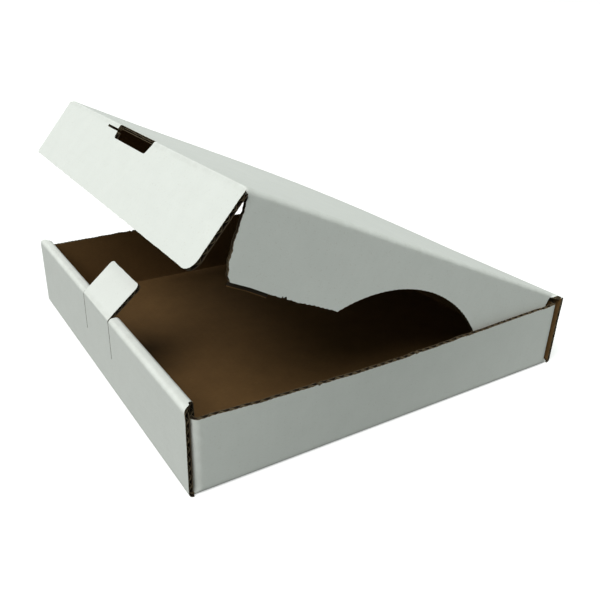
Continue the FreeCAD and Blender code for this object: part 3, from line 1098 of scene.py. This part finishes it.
@dataclass
class TraySizes:
    """The tray's sizes in millimetres."""

    width: float = 305.0
    length: float = 309.5
    side_height: float = 52.5
    front_height: float = 59.2
    rear_height: float = 54.6
    rear_lean: float = 1.0
    rear_inset: float = 0.4
    rear_gap: float = 1.9
    rear_thin: float = 6.0
    layer_gap: float = 0.15
    inner_lift: float = 0.3
    inner_half: float = 146.0
    ridge_slant: float = 6.0
    ridge_end: tuple[Pair, ...] = ((152.4, -3.0), (151.8, 0.0), (150.2, 2.0), (148.2, 4.2))
    roll_end: tuple[Pair, ...] = ((146.4, -0.6), (145.2, 1.2), (145.0, 3.6), (145.6, 8.0))
    corner_radius: float = 6.0
    corner_steps: int = 9
    corner_margin: float = 4.0
    cross_spacing: float = 14.0
    corner_tab_end: float = 90.5
    corner_tab_taper: float = 4.0
    corner_tab_bottom: float = 4.1
    tab_width: float = 53.6
    slit_width: float = 0.9
    slit_bottom: float = 28.5
    window_bottom: float = 34.0
    tab_crease_height: float = 57.2
    wall_leans: tuple[Pair, ...] = (
        (0.0, 1.6), (0.17, 4.8), (0.40, 6.8), (0.63, 4.8), (0.83, 2.1), (1.0, 0.2),
    )

    @property
    def half_width(self) -> float:
        """Half of the tray's width."""
        return self.width / 2

    @property
    def half_length(self) -> float:
        """Half of the tray's length."""
        return self.length / 2

    @property
    def floor_half(self) -> float:
        """Half of the floor between its side creases."""
        return self.half_width - BOARD.bend_radius

    @property
    def floor_run(self) -> float:
        """From the middle of the floor to its front or rear crease."""
        return self.half_length - BOARD.bend_radius

    @property
    def front_tab_face(self) -> float:
        """The front face of the front corner tabs."""
        return -self.half_length + BOARD.thickness + self.layer_gap

    @property
    def rear_tab_face(self) -> float:
        """The rear face of the rear corner tabs."""
        return self.half_length - BOARD.thickness - self.rear_gap

    @property
    def seam(self) -> tuple[float, float]:
        """Where the side creases start and end."""
        end = self.half_length - BOARD.bend_radius - self.layer_gap
        return -end, end

    @property
    def corner_bend(self) -> float:
        """How much of a side wall its corner fold takes up."""
        return (self.corner_radius - BOARD.half) * math.pi / 2

    @property
    def corners(self) -> tuple[float, float]:
        """Where a side wall is straight between its corner folds."""
        return self.front_tab_face + self.corner_radius, self.rear_tab_face - self.corner_radius

    @property
    def cross_lines(self) -> list[float]:
        """Grid lines that the floor and the side walls share.

        Returns:
            The places of the lines along v.
        """
        front, rear = self.corners
        folded = bend_lines(0.0, self.corner_bend, self.corner_steps)
        between = stations(front + self.corner_margin, rear - self.corner_margin, self.cross_spacing)
        return [front - v for v in folded] + [rear + v for v in folded] + between


class FloorAndEnds(Sheet):
    """The floor with the rolled front wall and the rear wall, in one strip."""

    seed = 1.0
    front_spacing = 12.0
    bend_margin = 2.5
    inner_margin = 3.0
    rear_margin = 1.0
    floor_spacing = 18.0

    def __init__(self, sizes: TraySizes) -> None:
        """Work out the strip's folds.

        Args:
            sizes: the sizes in millimetres.
        """
        super().__init__(sizes)
        bend = BOARD.square_bend
        panel = sizes.front_height - 2 * BOARD.bend_radius
        ridge_run = 3 * BOARD.thickness + 2 * sizes.layer_gap - 2 * BOARD.bend_radius
        start = (("run", sizes.floor_run), ("bend", 90.0))
        roll = (("run", panel), ("bend", 90.0), ("run", ridge_run), ("bend", 90.0))
        end = ("run", 0.0)
        self.front = Fold((*start, *roll, end))
        self.tongue = Fold((*start, end))
        self.rear = Fold((("run", sizes.floor_run), ("bend", 90.0 - sizes.rear_lean), end))
        self.front_bend = sizes.floor_run
        self.outer_start = self.front_bend + bend
        self.ridge_bend = self.outer_start + panel
        self.inner_bend = self.ridge_bend + bend + ridge_run
        self.inner_start = self.inner_bend + bend
        self.inner_end = self.inner_start + sizes.front_height - BOARD.bend_radius - BOARD.thickness
        self.inner_end -= sizes.inner_lift
        angle = math.radians(90.0 - sizes.rear_lean)
        self.rear_bend_length = BOARD.middle_radius * angle
        rear_run = (sizes.rear_height - BOARD.bend_radius * (1 - math.cos(angle))) / math.sin(angle)
        self.rear_end = sizes.floor_run + self.rear_bend_length + rear_run

    def outer_distance(self, height: float) -> float:
        """The strip's distance at a height of the outer front panel."""
        return self.outer_start + height - BOARD.bend_radius

    def inner_distance(self, height: float) -> float:
        """The strip's distance at a height of the inner front panel."""
        return self.inner_start + self.sizes.front_height - BOARD.bend_radius - height

    def loops(self) -> list[list[Corner]]:
        """The outline and the window that the lock tab is cut from.

        Returns:
            The loops, anticlockwise with the board on the left.
        """
        s = self.sizes
        floor, wide = s.floor_half, s.half_width
        rear = s.half_width - s.rear_inset
        ridge = [Corner(u, -self.ridge_bend - past, Rim.PLAIN) for u, past in s.ridge_end]
        roll = [Corner(u, -self.inner_bend - past, Rim.PLAIN) for u, past in s.roll_end]
        seam_front, seam_rear = s.seam
        right = [
            Corner(s.inner_half, -self.inner_end),
            *roll[::-1],
            *ridge[::-1],
            Corner(wide, -self.ridge_bend + s.ridge_slant),
            Corner(wide, -self.front_bend, Rim.THIN),
            Corner(floor, -self.front_bend),
            Corner(floor, seam_front, Rim.SEAM),
            Corner(floor, seam_rear),
            Corner(floor, self.front_bend),
            Corner(rear, self.front_bend),
            Corner(rear, self.rear_end - s.rear_thin, Rim.THIN),
            Corner(rear, self.rear_end, Rim.NOSE),
        ]
        rims = {(floor, seam_rear): Rim.SEAM, (floor, -self.front_bend): Rim.THIN}
        left = [Corner(-c.u, c.v, rims.get((c.u, c.v), Rim.CUT)) for c in right[::-1]]
        left[0] = Corner(-rear, self.rear_end, Rim.THIN)
        half, window = s.tab_width / 2, s.tab_width / 2 + s.slit_width
        slit = -self.outer_distance(s.slit_bottom)
        crease = -self.outer_distance(s.tab_crease_height)
        bottom = -self.inner_distance(s.window_bottom)
        half_hole = [(window, bottom), (window, slit), (half, slit), (half, crease)]
        hole = [Corner(-u, v, Rim.PLAIN) for u, v in half_hole]
        hole[-1] = Corner(-half, crease, Rim.NOSE)
        return [right + left, hole + [Corner(u, v, Rim.PLAIN) for u, v in half_hole[::-1]]]

    def u_lines(self) -> list[float]:
        """Across the flutes."""
        return stations(-self.sizes.floor_half, self.sizes.floor_half, self.floor_spacing)

    def v_lines(self) -> list[float]:
        """Along the flutes.

        Returns:
            The places of the lines along v.
        """
        clear = self.bend_margin
        lines = list(self.sizes.cross_lines)
        for start in (self.front_bend, self.ridge_bend, self.inner_bend):
            lines += [-v for v in bend_lines(start, BOARD.square_bend)]
        lines += bend_lines(self.front_bend, self.rear_bend_length)
        lines += stations(-self.ridge_bend + clear, -self.outer_start - clear, self.front_spacing)
        lines += stations(-self.inner_end + self.inner_margin, -self.inner_start - clear, self.v_spacing)
        rear_start = self.front_bend + self.rear_bend_length + clear
        return lines + stations(rear_start, self.rear_end - self.rear_margin, self.v_spacing)

    def place(self, u: float, v: float, lift: float) -> Vector:
        """Where a point of the strip is.

        Args:
            u: the place along the flutes.
            v: the place across the flutes.
            lift: height above the middle of the board, towards the white side.

        Returns:
            The place in millimetres.
        """
        if v >= 0:
            a, z = self.rear.at(v, lift)
            return Vector((u, a, z))
        s = self.sizes
        between_slits = abs(u) < s.tab_width / 2 + s.slit_width / 2
        fold = self.tongue if between_slits and -v < self.outer_distance(s.front_height) else self.front
        a, z = fold.at(-v, lift)
        return Vector((u, -a, z))

    def crease(self, u: float, v: float) -> float:
        """How much a point is part of a crease."""
        starts = (self.front_bend, self.ridge_bend, self.inner_bend)
        return max(near_crease(abs(v), start, BOARD.square_bend) for start in starts[:1 if v > 0 else 3])


class SideWall(Sheet):
    """One side wall with its floor crease and its two corner tabs."""

    style = CutStyle(tooth_pitch=3.1, tooth_depth=0.3, wander=0.75, wander_scale=13.0)
    nicks = ((-71.5, 1.1), (4.0, 0.9))
    u_spacing = 9.0
    first_line = 6.0
    tab_lines = (15.0, 30.0, 45.0)
    twist_start = 1.5

    def __init__(self, sizes: TraySizes, side: int) -> None:
        """Work out the wall on one side: 1 is right and -1 is left.

        Args:
            sizes: the sizes in millimetres.
            side: 1 for the right wall and -1 for the left one.
        """
        super().__init__(sizes)
        self.side = side
        self.seed = 5.0 + side
        self.top = sizes.side_height
        self.front_end, self.rear_end = sizes.corners

    def loops(self) -> list[list[Corner]]:
        """The outline.

        Returns:
            The loops, anticlockwise with the board on the left.
        """
        s = self.sizes
        bend = s.corner_bend
        reach = bend + s.half_width - s.corner_radius - s.corner_tab_end
        low, high, taper = s.corner_tab_bottom, self.top, s.corner_tab_taper
        seam_front, seam_rear = s.seam
        return [[
            Corner(0.0, seam_front),
            Corner(low, seam_front),
            Corner(low, self.front_end - bend),
            Corner(low + taper, self.front_end - reach),
            Corner(high - taper, self.front_end - reach),
            Corner(high, self.front_end - bend),
            *(corner for v, depth in self.nicks for corner in nick(high, v, depth)),
            Corner(high, self.rear_end + bend),
            Corner(high - taper, self.rear_end + reach),
            Corner(low + taper, self.rear_end + reach),
            Corner(low, self.rear_end + bend),
            Corner(low, seam_rear),
            Corner(0.0, seam_rear, Rim.SEAM),
        ]]

    def u_lines(self) -> list[float]:
        """Across the flutes."""
        panel = stations(self.first_line, self.top - self.side_margin, self.u_spacing)
        return bend_lines(0.0, BOARD.square_bend)[1:] + panel

    def v_lines(self) -> list[float]:
        """Along the flutes.

        Returns:
            The places of the lines along v.
        """
        bend = self.sizes.corner_bend
        front = [self.front_end - bend - v for v in self.tab_lines]
        return self.sizes.cross_lines + front + [self.rear_end + bend + v for v in self.tab_lines]

    def section(self, u: float, v: float, lift: float) -> tuple[float, float]:
        """A point of the wall's cross-section, as distance from the middle plane and height.

        Args:
            u: the place along the flutes.
            v: the place across the flutes.
            lift: height above the middle of the board, towards the white side.

        Returns:
            The distance and the height in millimetres.
        """
        s = self.sizes
        start, end = s.seam
        share = min(max((v - start) / (end - start), 0.0), 1.0)
        angle = math.radians(90.0 - smooth_between(s.wall_leans, share))
        bend_share = min(u / BOARD.square_bend, 1.0)
        run = (s.side_height - BOARD.bend_radius * (1 - math.cos(angle))) / math.sin(angle)
        length = max(u - BOARD.square_bend, 0.0) / (self.top - BOARD.square_bend) * run
        heading = angle * bend_share
        a = s.floor_half + BOARD.middle_radius * math.sin(heading) + length * math.cos(angle)
        z = BOARD.bend_radius - BOARD.middle_radius * math.cos(heading) + length * math.sin(angle)
        return a + lift * math.sin(heading), z - lift * math.cos(heading)

    def place(self, u: float, v: float, lift: float) -> Vector:
        """Where a point of the wall or of a corner tab is.

        Args:
            u: the place along the flutes.
            v: the place across the flutes.
            lift: height above the middle of the board, towards the white side.

        Returns:
            The place in millimetres.
        """
        beyond = max(self.front_end - v, v - self.rear_end, 0.0)
        inward = 1 if v < self.front_end else -1
        if beyond == 0:
            a, z = self.section(u, v, lift)
            return Vector((self.side * a, v, z))
        end = self.front_end if inward == 1 else self.rear_end
        a, z = self.section(u, end, 0.0)
        radius = self.sizes.corner_radius - BOARD.half
        turn = min(beyond / radius, math.pi / 2)
        straight = max(beyond - radius * math.pi / 2, 0.0)
        x = a - radius + (radius + lift) * math.cos(turn) - straight
        y = end - inward * (radius + lift) * math.sin(turn)
        turned = Vector((self.side * x, y, z))
        a, z = self.section(u, v, lift)
        twist = self.sizes.corner_tab_bottom - self.twist_start
        share = min(max((u - self.twist_start) / twist, 0.0), 1.0)
        return Vector((self.side * a, v, z)).lerp(turned, share)

    def crease(self, u: float, v: float) -> float:
        """How much a point is part of a crease."""
        beyond = max(self.front_end - v, v - self.rear_end)
        return max(near_crease(u, 0.0, BOARD.square_bend), near_crease(beyond, 0.0, self.sizes.corner_bend))


@dataclass
class LidSizes:
    """The lid's sizes in millimetres and degrees."""

    hinge: Pair = (154.353, 54.6)
    angle: float = 23.6
    length: float = 293.6
    half_width: float = 149.3
    dome: float = 5.0
    flat_end: float = 10.0
    flap_depth: float = 50.9
    flap_rear_gap: float = 12.0
    rear_wing: tuple[Pair, ...] = ((4.6, 9.2), (5.2, 6.5))
    flap_front: tuple[Pair, ...] = (
        (1.3, 3.2), (1.7, 7.0), (2.6, 17.4), (3.1, 28.0), (4.4, 38.5), (6.8, 45.6), (9.2, 48.4),
    )
    flap_bottom: tuple[Pair, ...] = (
        (22.6, 48.7), (36.0, 49.9), (43.6, 50.4), (44.4, 49.2),
        (45.2, 50.1), (46.6, 48.9), (47.8, 50.5), (56.0, 50.9),
    )
    torn: Pair = (9.2, 36.0)
    torn_depth: float = 5.0
    arch_centre: float = 139.0
    arch_width: float = 137.0
    arch_rise: float = 26.3
    arch_steps: int = 40
    slot_half_width: float = 30.8

    @property
    def flat_half(self) -> float:
        """Half of the top panel between its side creases."""
        return self.half_width - BOARD.bend_radius

    @property
    def turn(self) -> Matrix:
        """The turn from closed to the open angle."""
        return Matrix.Rotation(math.radians(-self.angle), 3, "X")

    def set_in_place(self, x: float, along: float, up: float) -> Vector:
        """A point of the lid as it lies closed, turned open about the rear crease.

        Args:
            x: across the lid.
            along: from the rear crease towards the front.
            up: above the middle of the board.

        Returns:
            The place in millimetres.
        """
        y, z = self.hinge
        return Vector((0, y, z)) + self.turn @ Vector((x, -along, up))


class LidSheet(Sheet):
    """The domed top panel with its two side flaps."""

    seed = 11.0
    style = CutStyle(tooth_pitch=3.4, tooth_depth=0.5, wander=0.4, wander_scale=8.0)

    u_spacing = 16.0
    v_spacing = 13.0
    flap_spacing = 9.0
    wing_spacing = 1.0
    bend_margin = 2.5
    flap_margin = 6.0
    front_margin = 4.0
    end_lines = (3.6, 2.0)
    front_crease = (0.5, 3.0)

    def __init__(self, sizes: LidSizes) -> None:
        """Work out the lid's folds.

        Args:
            sizes: the sizes in millimetres.
        """
        super().__init__(sizes)
        self.fold = Fold((("run", sizes.flat_half), ("bend", 90.0), ("run", 0.0)))
        self.edge = sizes.flat_half + BOARD.square_bend + sizes.flap_depth - BOARD.bend_radius

    def flap_side(self) -> list[Corner]:
        """The outline of the right half, from the front to the rear.

        Returns:
            The corners in order.
        """
        s = self.sizes
        flat, edge = s.flat_half, self.edge
        front = [
            Corner(edge - s.flap_depth + depth, s.length - gap) for gap, depth in s.flap_front + s.flap_bottom
        ]
        half = s.arch_width / 2
        radius = (half * half + s.arch_rise * s.arch_rise) / (2 * s.arch_rise)
        arch = []
        reach = math.asin(half / radius)
        for step in range(s.arch_steps + 1):
            angle = reach - 2 * reach * step / s.arch_steps
            depth = radius * math.cos(angle) - (radius - s.arch_rise)
            arch.append(Corner(edge - depth, s.arch_centre + radius * math.sin(angle)))
        return [
            Corner(flat, s.length, Rim.NOSE),
            *front,
            *arch,
            Corner(edge, s.flap_rear_gap),
            Corner(flat + BOARD.square_bend, s.flap_rear_gap, Rim.THIN),
            *(Corner(flat + wing, v, Rim.THIN) for wing, v in s.rear_wing),
            Corner(flat + s.rear_wing[-1][0], self.hinge_start, Rim.HOLLOW),
        ]

    def loops(self) -> list[list[Corner]]:
        """The outline, from the rear to the front on the right and back on the left.

        Returns:
            The loops, anticlockwise with the board on the left.
        """
        s = self.sizes
        side = self.flap_side()
        start, end = (s.length - gap for gap in s.torn)
        right = [
            Corner(c.u, c.v, Rim.LIP if end <= c.v < start and c.u > self.edge - s.torn_depth else Rim.CUT)
            for c in side[::-1]
        ]
        right[-2:] = [Corner(c.u, c.v, Rim.NOSE) for c in right[-2:]]
        right[:3] = [Corner(c.u, c.v, Rim.THIN) for c in right[:3]]
        left = [Corner(-c.u, c.v, c.rim) for c in side]
        slot = s.slot_half_width
        front = [Corner(slot, s.length), Corner(-slot, s.length, Rim.NOSE)]
        return [right + front + left]

    def u_lines(self) -> list[float]:
        """Across the flutes.

        Returns:
            The places of the lines along u.
        """
        flat, edge = self.sizes.flat_half, self.edge
        lines = stations(-flat + self.bend_margin, flat - self.bend_margin, self.u_spacing)
        flap = stations(flat + self.flap_margin, edge - self.side_margin, self.flap_spacing)
        for side in (-1, 1):
            lines += [side * u for u in bend_lines(flat, BOARD.square_bend) + flap]
        return lines

    def v_lines(self) -> list[float]:
        """Along the flutes.

        Returns:
            The places of the lines along v.
        """
        s = self.sizes
        rear = stations(s.rear_wing[-1][1], s.flap_rear_gap, self.wing_spacing)
        lines = stations(s.flap_rear_gap + self.side_margin, s.length - self.front_margin, self.v_spacing)
        return lines + rear + [self.end_lines[0], s.length - self.end_lines[1]]

    def place(self, u: float, v: float, lift: float) -> Vector:
        """Where a point of the lid is.

        Args:
            u: the place along the flutes.
            v: the place across the flutes.
            lift: height above the middle of the board, towards the white side.

        Returns:
            The place in millimetres.
        """
        s = self.sizes
        a, down = self.fold.at(abs(u), lift)
        up = BOARD.half - down
        if abs(u) > s.flat_half:
            bent = smooth_between(((s.rear_wing[-1][1], 0.0), (s.flap_rear_gap, 1.0)), v)
            a = abs(u) + (a - abs(u)) * bent
            up = lift + (up - lift) * bent
        share = (v - s.flat_end) / (s.length - 2 * s.flat_end)
        if 0 < share < 1 and abs(u) < s.flat_half:
            swell = 1 - (2 * share - 1) ** 2
            up += s.dome * swell * (1 - (u / s.flat_half) ** 2)
        return s.set_in_place(math.copysign(a, u), v, up)

    def crease(self, u: float, v: float) -> float:
        """How much a point is part of a crease.

        Args:
            u: the place along the flutes.
            v: the place across the flutes.

        Returns:
            The amount, from 0 to 1.
        """
        flat = self.sizes.flat_half
        side = near_crease(abs(u), flat, BOARD.square_bend)
        if abs(u) >= flat + 1:
            return side
        inset, width = self.front_crease
        front = near_crease(v, self.sizes.length - inset, width)
        return max(side, front, near_crease(v, 0.0, self.hinge_start))


@dataclass
class FrontFlapSizes:
    """The lid's front flap in millimetres and degrees."""

    angle: float = 73.9
    half_width: float = 150.25
    taper: float = 0.8
    depth: float = 49.7
    corner_radii: Pair = (9.0, 4.0)
    slot_depth: float = 9.2
    slot_taper: float = 3.0
    slot_radius: float = 2.5
    wing_end: float = 49.6
    wing_top: float = 2.3
    wing_bottom: float = 4.1


class FrontFlapSheet(Sheet):
    """The front flap with its slot for the lock tab."""

    seed = 17.0
    v_spacing = 8.0
    slot_lines = (3.0, 5.5)
    first_line = 8.0

    def __init__(self, sizes: FrontFlapSizes, lid: LidSizes) -> None:
        """Keep the sizes and the lid that the flap turns on.

        Args:
            sizes: the sizes in millimetres.
            lid: the sizes of the lid that the flap turns on.
        """
        super().__init__(sizes)
        self.lid = lid
        self.turn = Matrix.Rotation(math.radians(sizes.angle), 3, "X")

    def loops(self) -> list[list[Corner]]:
        """The outline with the slot as a notch in its top.

        Returns:
            The loops, anticlockwise with the board on the left.
        """
        s = self.sizes
        top, half, slot = self.hinge_start, s.half_width, self.lid.slot_half_width
        lean = s.slot_taper / s.slot_depth
        return [[
            Corner(slot, top, Rim.HOLLOW),
            Corner(half, top),
            Corner(half - s.taper, s.depth, Rim.CUT, s.corner_radii[0]),
            Corner(s.taper - half, s.depth, Rim.CUT, s.corner_radii[1]),
            Corner(-half, top, Rim.HOLLOW),
            Corner(-slot, top, Rim.THIN),
            Corner(-slot, s.wing_top, Rim.THIN),
            Corner(-s.wing_end, s.wing_top, Rim.THIN),
            Corner(-s.wing_end, s.wing_bottom, Rim.PLAIN),
            Corner(-slot + lean * s.wing_bottom, s.wing_bottom, Rim.PLAIN),
            Corner(-slot + s.slot_taper, s.slot_depth, Rim.PLAIN, s.slot_radius),
            Corner(slot - s.slot_taper, s.slot_depth, Rim.PLAIN, s.slot_radius),
        ]]

    def v_lines(self) -> list[float]:
        """Along the flutes."""
        panel = stations(self.first_line, self.sizes.depth - self.side_margin, self.v_spacing)
        return [*self.slot_lines, *panel]

    def place(self, u: float, v: float, lift: float) -> Vector:
        """Where a point of the flap is."""
        local = self.turn @ Vector((u, -v, lift))
        return self.lid.set_in_place(local.x, self.lid.length - local.y, local.z)


@dataclass
class LockTabSizes:
    """The lock tab in millimetres and degrees."""

    hinge: Pair = (-153.4, 57.2)
    angle: float = 41.0
    half_width: float = 26.8
    length: float = 31.0
    corner_radius: float = 4.0
    crease_start: float = 2.15


class LockTabSheet(Sheet):
    """The lock tab."""

    seed = 23.0
    hinge_radius = 1.45
    hinge_flare = 0.6
    u_spacing = 10.0
    v_spacing = 7.0
    first_line = 4.0

    def __init__(self, sizes: LockTabSizes) -> None:
        """Keep the sizes and how far the tab is raised.

        Args:
            sizes: the sizes in millimetres.
        """
        super().__init__(sizes)
        self.hinge_start = sizes.crease_start
        self.turn = Matrix.Rotation(math.radians(sizes.angle), 3, "X")

    def loops(self) -> list[list[Corner]]:
        """The outline.

        Returns:
            The loops, anticlockwise with the board on the left.
        """
        s = self.sizes
        return [[
            Corner(-s.half_width, s.crease_start, Rim.HOLLOW),
            Corner(s.half_width, s.crease_start),
            Corner(s.half_width, s.length, Rim.CUT, s.corner_radius),
            Corner(-s.half_width, s.length, Rim.CUT, s.corner_radius),
        ]]

    def v_lines(self) -> list[float]:
        """Along the flutes."""
        return stations(self.first_line, self.sizes.length - self.side_margin, self.v_spacing)

    def place(self, u: float, v: float, lift: float) -> Vector:
        """Where a point of the tab is."""
        y, z = self.sizes.hinge
        return Vector((0, y, z)) + self.turn @ Vector((u, v, lift))


@dataclass
class BoxPart:
    """One moving part of the box: its sheets, its body and the solid that it stands for."""

    body: str
    sheets: list[Sheet] = field(default_factory=list)

    def dress(self, finishes: list[bpy.types.Material], fluting: Fluting) -> None:
        """Build the board and its flutes and join them to the frame.

        Args:
            finishes: the board's materials, in the order of Skin.
            fluting: the fluted paper of the cut edges.
        """
        mesh = BoardMesh(f"{self.body}_board")
        for sheet in self.sheets:
            sheet.build(mesh)
        board = mesh.make_board(finishes)
        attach(board, self.body)
        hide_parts(self.body)
        lines = mesh.make_lines(f"{self.body}_cut_lines")
        flutes = fluting.make(f"{self.body}_flutes", lines, finishes[Skin.CUT])
        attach(flutes, self.body)
        counts = [len(piece.data.polygons) for piece in (board, flutes)]
        LOG.info("%s: %d faces of board, %d of flutes", self.body, *counts)


@dataclass(frozen=True)
class Viewpoint:
    """The camera. Metres and degrees."""

    aim: Triple = (0.025003, 0.000392, 0.028593)
    azimuth: float = 56.521
    elevation: float = 25.499
    roll: float = 1.795
    distance: float = 0.540678
    lens: float = 40.369
    sensor: float = 36.0
    shift_up: float = 0.01668
    near_limit: float = 0.01

    def make(self) -> None:
        """Add the camera and make it the scene's."""
        a, e, r = (math.radians(value) for value in (self.azimuth, self.elevation, self.roll))
        back = Vector((math.sin(a) * math.cos(e), -math.cos(a) * math.cos(e), math.sin(e)))
        level = Vector((math.cos(a), math.sin(a), 0.0))
        upright = back.cross(level)
        right = level * math.cos(r) + upright * math.sin(r)
        up = upright * math.cos(r) - level * math.sin(r)
        data = bpy.data.cameras.new("camera")
        data.lens = self.lens
        data.sensor_width = self.sensor
        data.shift_y = self.shift_up
        data.clip_start = self.near_limit
        camera = add_object("camera", data)
        turn = Matrix((right, up, back)).transposed().to_4x4()
        camera.matrix_world = Matrix.Translation(Vector(self.aim) + back * self.distance) @ turn
        bpy.context.scene.camera = camera


@dataclass(frozen=True)
class Studio:
    """The pale floor, the even sky and one broad lamp that is far away."""

    floor_reach: float = 30.0
    floor_colour: float = 0.2
    floor_seen: float = 0.7
    floor_glow: float = 0.5
    floor_roughness: float = 0.9
    sky_light: float = 0.23
    sky_tint: Triple = (0.85, 1.04, 0.93)
    lamp_strength: float = 2.91
    lamp_tint: Triple = (1.0, 0.995, 0.98)
    lamp_spread: float = 44.0
    lamp_direction: Triple = (0.24, -0.45, 0.78)

    def make_floor(self) -> None:
        """Add the floor, which is part of the stage."""
        reach = self.floor_reach
        data = bpy.data.meshes.new("floor")
        corners = [(-reach, -reach, 0), (reach, -reach, 0), (reach, reach, 0), (-reach, reach, 0)]
        data.from_pydata(corners, [], [(0, 1, 2, 3)])
        floor = add_object("floor", data)
        material = bpy.data.materials.new("pale_floor")
        material.use_nodes = True
        material.node_tree.nodes.clear()
        b = NodeBuilder(material.node_tree)
        seen = b.add("ShaderNodeLightPath").outputs["Is Camera Ray"]
        plain, shown = ((grey, grey, grey, 1) for grey in (self.floor_colour, self.floor_seen))
        shader = b.add("ShaderNodeBsdfPrincipled", {
            "Base Color": b.mix(seen, plain, shown),
            "Emission Strength": b.math("MULTIPLY", seen, self.floor_glow),
            "Emission Color": (1, 1, 1, 1),
            "Roughness": self.floor_roughness,
            "Specular IOR Level": 0.0,
        })
        b.add("ShaderNodeOutputMaterial", {0: shader.outputs[0]})
        data.materials.append(material)

    def make_sky(self) -> None:
        """Light the scene evenly, and show the camera a white background."""
        world = bpy.data.worlds.new("sky")
        world.use_nodes = True
        world.node_tree.nodes.clear()
        b = NodeBuilder(world.node_tree)
        path = b.add("ShaderNodeLightPath")
        seen = b.math("MAXIMUM", path.outputs["Is Camera Ray"], path.outputs["Is Glossy Ray"])
        seen = b.math("MAXIMUM", seen, path.outputs["Is Transmission Ray"])
        strength = b.math("ADD", b.math("MULTIPLY", seen, 1.0 - self.sky_light), self.sky_light)
        colour = b.mix(seen, (*self.sky_tint, 1), (1, 1, 1, 1))
        sky = b.add("ShaderNodeBackground", {"Strength": strength, "Color": colour})
        b.add("ShaderNodeOutputWorld", {0: sky.outputs[0]})
        bpy.context.scene.world = world

    def make_lamp(self) -> None:
        """Add the soft lamp high above the front."""
        data = bpy.data.lights.new("soft_lamp", "SUN")
        data.energy = self.lamp_strength
        data.color = self.lamp_tint
        data.angle = math.radians(self.lamp_spread)
        lamp = add_object("soft_lamp", data)
        lamp.rotation_euler = Vector(self.lamp_direction).to_track_quat("Z", "Y").to_euler()

    def make(self) -> None:
        """Build the whole stage."""
        bpy.context.scene.view_settings.view_transform = "Standard"
        self.make_floor()
        self.make_sky()
        self.make_lamp()


def main() -> None:
    """Build the camera, the stage and the box, and log how many faces each part has."""
    logging.basicConfig(level=logging.INFO, format="%(name)s: %(message)s")
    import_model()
    Viewpoint().make()
    Studio().make()
    finishes = board_finishes()
    tray, lid = TraySizes(), LidSizes()
    parts = [
        BoxPart("tray", [FloorAndEnds(tray), SideWall(tray, 1), SideWall(tray, -1)]),
        BoxPart("lid", [LidSheet(lid)]),
        BoxPart("front_flap", [FrontFlapSheet(FrontFlapSizes(), lid)]),
        BoxPart("lock_tab", [LockTabSheet(LockTabSizes())]),
    ]
    for part in parts:
        part.dress(finishes, Fluting())


if __name__ == "__main__":
    main()
